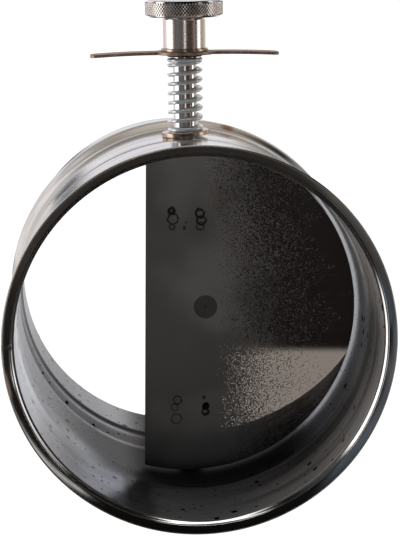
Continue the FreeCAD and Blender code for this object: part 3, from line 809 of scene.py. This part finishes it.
def coilTree():
    lengths = ("wireRadius", "coilRadius", "base", "rest", "lead", "openTurns", "openRise", "closedRise")
    tree, sizes = newTree("woundWire", lengths, ("sides", "steps"))
    line = addNode(tree, "GeometryNodeCurvePrimitiveLine")
    points = addNode(tree, "GeometryNodeResampleCurve", {"Curve": line.outputs[0], "Count": sizes["steps"]})
    share = addNode(tree, "GeometryNodeSplineParameter").outputs["Factor"]
    closing = total(tree, sizes["openTurns"], 1.0)
    allTurns = total(tree, closing, 1.0)
    turns = product(tree, share, allTurns)
    angle = product(tree, total(tree, turns, 0.5), 2 * math.pi)
    height = sizes["base"]
    for start, end, rise in (
        (0.0, 0.5, sizes["rest"]), (0.5, 1.0, sizes["lead"]), (1.0, closing, sizes["openRise"]),
        (closing, allTurns, sizes["closedRise"]),
    ):
        span = {"Value": turns, "From Min": start, "From Max": end, "To Max": rise}
        height = total(tree, height, addNode(tree, "ShaderNodeMapRange", span).outputs["Result"])
    spot = addNode(tree, "ShaderNodeCombineXYZ", {
        0: product(tree, sizes["coilRadius"], mathNode(tree, "COSINE", angle)),
        1: product(tree, sizes["coilRadius"], mathNode(tree, "SINE", angle)),
        2: height,
    })
    path = {"Geometry": points.outputs[0], "Position": spot.outputs[0]}
    path = addNode(tree, "GeometryNodeSetPosition", path)
    section = {"Resolution": sizes["sides"], "Radius": sizes["wireRadius"]}
    section = addNode(tree, "GeometryNodeCurvePrimitiveCircle", section, mode="RADIUS")
    wire = addNode(
        tree, "GeometryNodeCurveToMesh",
        {"Curve": path.outputs[0], "Profile Curve": section.outputs[0], "Fill Caps": True},
    )
    smooth = addNode(tree, "GeometryNodeSetShadeSmooth", {"Geometry": wire.outputs[0]})
    return closed(tree, smooth.outputs[0], sizes["finish"])


def makeSpring(sizes):
    half = sizes["wire"] / 2
    radius = sizes["outer"] - half
    lean = math.radians(sizes["lean"])
    rest = 2 * radius * math.tan(lean)
    foot = sizes["lift"] + (sizes["washerTop"] + half) / math.cos(lean) - rest / 2
    head = sizes["washerTop"] + sizes["reach"] - sizes["slack"] - half
    openRise = head - foot - rest - sizes["lead"] - sizes["closedRise"]
    mesh = grown("springCoil", coilTree(), {
        "wireRadius": half * mm, "coilRadius": radius * mm, "base": foot * mm, "rest": rest * mm,
        "lead": sizes["lead"] * mm, "openTurns": sizes["openTurns"], "openRise": openRise * mm,
        "closedRise": sizes["closedRise"] * mm, "sides": sizes["sides"], "steps": sizes["steps"],
        "finish": finishes["wire"],
    })
    mesh.transform(Matrix.Translation((0, spindleY * mm, 0)))
    mesh.set_sharp_from_angle(angle=math.radians(50))
    coil = newPiece("spring_coil", mesh, finishes["wire"], "duct")
    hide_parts("spring")
    print("spring faces:", len(mesh.polygons))


makeSpring(springSizes)


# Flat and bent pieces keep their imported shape, with broken edges.
dressedNodes = {
    "damper_plate": ("plate", "rotor", "plate_steel", 0.12),
    "spindle": ("spindle", "rotor", "spindle_steel", 0.08),
    "upper_saddle_clip": ("clip", "rotor", "clip_steel", 0.1),
    "lower_saddle_clip": ("clip", "rotor", "clip_steel", 0.1),
    "upper_washer": ("washer", "duct", "washer_steel", 0.18),
    "lower_washer": ("washer", "duct", "washer_steel", 0.18),
    "spring_seat": ("seat", "rotor", "seat_black", 0.1),
    "lever": ("lever", "rotor", "lever_steel", 0.15),
    "collar_washer": ("washer", "rotor", "washer_steel", 0.12),
    "split_pin": ("pin", "rotor", "pin_steel", 0.08),
}


def dressNode(node, finish, body, slot, bend):
    work = bmesh.new()
    work.from_mesh(nodes[node].data)
    bmesh.ops.remove_doubles(work, verts=work.verts, dist=0.002 * mm)
    bmesh.ops.dissolve_limit(work, angle_limit=math.radians(0.5), verts=work.verts, edges=work.edges)
    mesh = bpy.data.meshes.new(node + "Soft")
    work.to_mesh(mesh)
    work.free()
    sharp = {"limit_method": "ANGLE", "angle_limit": math.radians(35)}
    bevel = ("BEVEL", {"width": bend * mm, "segments": 2, **sharp})
    piece = newPiece(node + "_finished", settled(mesh, [bevel]), finishes[finish], body)
    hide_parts(node)


for node, plan in dressedNodes.items():
    dressNode(node, *plan)
print("nodes dressed:", len(dressedNodes))


# Studio: white paper behind, a tall light on each side, a dark room on the camera's side.
# Each ring is seen between two heights above the horizon, in degrees. Its stops are the
# azimuth from the camera's side, positive to the right, the colour there, and its strength
# where that isn't 1. A ring ends at 180 degrees as it begins, where no other end is given.
white = "#ffffff"
tallLeft = ((-98, white, 2.0), (-74, white, 2.0))
leftEdge = ((-69, "#0e0f10"), (-57, "#0e0f10"), (-52, "#585b60"))
darkRoom = (
    (-120, "#eee9e7", 1.3), (-114, "#141416"), (-104, "#141416"), *tallLeft, *leftEdge,
    (-44, "#565f68"), (-30, "#15161a"), (0, "#0b0b0b"), (44, "#121110"), (48, white, 0.9),
    (54, "#1c1a19"), (79, "#1c1a19"), (86, white, 1.2), (94, white, 1.2),
    (104, "#8f8983"), (120, "#a5a8ab"), (136, "#8a8886"),
)
studio = {
    "floorHeight": -65.2, "floorReach": 9.0, "floorWhite": 0.93, "floorGlow": 1.16, "paper": "#f2f2f2",
    "gain": 1.4, "brightest": 2.0,
    "rings": (
        ("deep", (-90, -90), (
            (-180, "#101010"), (-60, "#34302d"), (50, "#34302d"), (80, "#3a3633"),
            (110, "#4a4542"), (160, "#101010"),
        )),
        ("ground", (-60, -50), (
            (-180, "#3a3a3c"), (-120, "#1c1c1e"), (-60, "#4b4846"), (-30, "#6b6763"), (38, "#6b6763"),
            (50, "#45413e"), (80, "#35312f"), (110, "#6a6562"), (150, "#3a3a3c"),
        )),
        ("table", (-36, -24), (
            (-180, white), (-150, white), (-128, "#8a8a90"), (-106, "#141416"),
            (-98, white, 1.6), (-74, white, 1.6), (-68, "#3a424a"), (-60, "#4a525a"),
            (-40, "#3c4044"), (-20, "#7a7571"), (34, "#7a7571"), (46, "#e4dfda"), (54, "#282523"),
            (88, "#282523"), (112, "#b9b6b4"), (140, white),
        )),
        ("patch", (-17.5, -15.5), (
            (-180, white, 1.1), (-150, white), (-128, "#8a8a90"), (-106, "#141416"),
            (-98, white, 1.8), (-74, white, 1.8), *leftEdge, (-30, "#6a747c"),
            (-10, "#c2bbb5"), (20, "#c2bbb5"), (34, "#5a544f"), (46, white), (54, "#1c1a19"),
            (96, "#1c1a19"), (112, "#b9b6b4"), (140, white), (180, white),
        )),
        ("dark", (-13.47, -13.27), (
            (-180, white, 1.2), (-150, white, 1.1), (-128, "#a5a4ac"), (-120, "#eee9e7", 1.2),
            (-112, "#1a1a1c"), *tallLeft, *leftEdge, (-38, "#6a747c"), (-18, "#1a1514"),
            (0, "#150f0e"), (40, "#1a1412"), (46, white), (54, "#1c1a19"), (78, "#1c1a19"),
            (84, white, 1.4), (92, white, 1.4), (98, "#3a3836"), (112, "#b0a89f"),
            (140, white),
        )),
        ("horizon", (-7.4, -6.4), (
            (-180, "#c9c5c0", 0.9), (-168, "#e4e1de", 0.95), (-154, white), (-143, "#bdb8c6"),
            (-121, "#eee9e7", 1.2), (-114, "#bdb8c6"), (-110, white, 2.0), (-72, white, 2.0),
            (-67, "#a89c98"), (-61, "#5c5f64"), (-44, "#6e6a6c"), (-8, "#5d595a"),
            (-2.5, white, 1.1), (1.5, white, 1.1), (6, "#4a3f3b"), (45, "#4a3f3b"),
            (51, "#a08a7f"), (56, "#8a766c"), (60, "#1c1a19"), (67, "#1c1a19"), (73, white, 1.8),
            (87, white, 1.8), (93, "#958b82"), (112, "#b0a89f"), (132, "#cfc4b8"),
            (155, "#f4f2ee"),
        )),
        ("streak", (-2.2, -1.4), (
            (-180, "#8f8b86", 0.9), (-176, "#77777d", 0.9), (-172, "#3c3c42", 0.9),
            (-169, "#b9b9c0", 0.9), (-150, white), *darkRoom, (150, "#f0ece6", 0.9),
            (168, "#8f8b86", 0.9),
        )),
        ("rise", (2.2, 3.4), (
            (-180, "#e9e8ee", 0.9), (-150, white, 0.9), *darkRoom, (158, white, 0.85),
        )),
        ("walls", (26, 34), (
            (-180, "#a8a39c"), (-150, "#a8a39c"), (-135, "#b5b1ad"), (-122, "#f2f2f4"),
            (-105, "#b0b0b4"), (-88, "#6a6b6e"), (-74, "#4a4c50"), (-58, "#141414"), (0, "#0b0b0b"),
            (60, "#121110"), (80, "#1a1817"), (104, "#181716"), (118, "#1a1918"), (132, "#2c2a28"),
            (147, "#b8ada2"),
        )),
        ("ceiling", (46, 58), (
            (-180, "#cdc6bc"), (-148, "#c8c1b8"), (-124, "#9a958f"), (-96, "#262626"),
            (-60, "#0a0a0a"), (60, "#0a0a0a"), (98, "#1c1b1a"), (120, "#1c1b1a"),
            (138, "#3c3936"), (155, "#c0b8af"),
        )),
        ("lamp", (66, 68.5), (
            (-180, "#cdc6bc"), (-130, "#9a958f"), (-96, "#262626"), (-80, white, 2.0),
            (70, white, 2.0), (86, "#262626"), (130, "#9f9993"),
        )),
        ("zenith", (76, 79), (
            (-180, "#8b8680"), (-100, "#4a4643"), (100, "#4a4643"),
        )),
    ),
}


def panorama(tree, name, share, stops, brightest):
    # one ring of the studio as a colour ramp by azimuth
    stops = stops if stops[-1][0] == 180 else (*stops, (180, *stops[0][1:]))
    ramp = addNode(tree, "ShaderNodeValToRGB", {0: share}, label=name)
    marks = ramp.color_ramp.elements
    while len(marks) > 1:
        marks.remove(marks[0])
    for number, (azimuth, colour, *strength) in enumerate(stops):
        spot = 0.5 + azimuth / 360
        stop = marks[0] if number == 0 else marks.new(spot)
        stop.position = spot
        level = (strength[0] if strength else 1.0) / brightest
        stop.color = [part * level for part in linear(colour)[:3]] + [1]
    return ramp.outputs[0]


def makeWorld(plan):
    world = bpy.data.worlds.new("studio")
    bpy.context.scene.world = world
    world.use_nodes = True
    tree = world.node_tree
    tree.nodes.clear()
    x, y, z = xyz(tree, addNode(tree, "ShaderNodeTexCoord").outputs["Generated"])
    turn = mathNode(tree, "ARCTAN2", x, product(tree, y, -1.0))
    share = total(tree, mathNode(tree, "DIVIDE", turn, 2 * math.pi), 0.5)
    height = mathNode(tree, "DEGREES", mathNode(tree, "ARCSINE", z))
    colour = None
    for name, (low, high), stops in plan["rings"]:
        ring = panorama(tree, name, share, stops, plan["brightest"])
        colour = ring if colour is None else blended(tree, between(tree, height, low, high), colour, ring)
    strength = plan["brightest"] * plan["gain"]
    glow = addNode(tree, "ShaderNodeBackground", {"Color": colour, "Strength": strength})
    plain = addNode(tree, "ShaderNodeBackground", {"Color": (1, 1, 1, 1)})
    seen = addNode(tree, "ShaderNodeLightPath").outputs["Is Camera Ray"]
    mixed = addNode(tree, "ShaderNodeMixShader", {0: seen, 1: glow.outputs[0], 2: plain.outputs[0]})
    addNode(tree, "ShaderNodeOutputWorld", {0: mixed.outputs[0]})


makeWorld(studio)
print("studio rings:", len(studio["rings"]))


def makeFloor(plan):
    reach = plan["floorReach"]
    height = plan["floorHeight"] * mm
    corners = ((-reach, -reach), (reach, -reach), (reach, reach), (-reach, reach))
    mesh = bpy.data.meshes.new("floor")
    mesh.from_pydata([(x, y, height) for x, y in corners], [], [(0, 1, 2, 3)])
    floor = placed("floor", mesh)
    paper = bpy.data.materials.new("whitePaper")
    paper.use_nodes = True
    tree = paper.node_tree
    tree.nodes.clear()
    matt = addNode(tree, "ShaderNodeBsdfDiffuse", {"Color": linear(plan["paper"])})
    glow = addNode(tree, "ShaderNodeEmission", {"Color": (1, 1, 1, 1), "Strength": plan["floorGlow"]})
    seen = addNode(tree, "ShaderNodeLightPath").outputs["Is Camera Ray"]
    share = product(tree, seen, plan["floorWhite"])
    mixed = addNode(tree, "ShaderNodeMixShader", {0: share, 1: matt.outputs[0], 2: glow.outputs[0]})
    addNode(tree, "ShaderNodeOutputMaterial", {0: mixed.outputs[0]})
    mesh.materials.append(paper)
    floor.visible_glossy = False


makeFloor(studio)


# Camera: a long lens above and to the left, a little shifted so that uprights stay upright.
lensPlan = {
    "place": (-42.33, -680.02, 131.26), "yaw": -3.344, "pitch": -8.226, "roll": -0.829,
    "lens": 123.62, "shiftX": 0.06, "shiftY": -0.16,
}


def makeCamera(plan):
    yaw, pitch, roll = (math.radians(plan[word]) for word in ("yaw", "pitch", "roll"))
    look = Vector((-math.sin(yaw) * math.cos(pitch), math.cos(yaw) * math.cos(pitch), math.sin(pitch)))
    right = Vector((math.cos(yaw), math.sin(yaw), 0))
    up = right.cross(look)
    right, up = right * math.cos(roll) + up * math.sin(roll), up * math.cos(roll) - right * math.sin(roll)
    camera = placed("camera", bpy.data.cameras.new("camera"))
    turn = Matrix((right, up, -look)).transposed().to_4x4()
    camera.matrix_world = Matrix.Translation(Vector(plan["place"]) * mm) @ turn
    camera.data.lens = plan["lens"]
    camera.data.shift_x, camera.data.shift_y = plan["shiftX"], plan["shiftY"]
    camera.data.clip_start, camera.data.clip_end = 0.01, 50
    bpy.context.scene.camera = camera


makeCamera(lensPlan)
bpy.context.scene.view_settings.view_transform = "Standard"
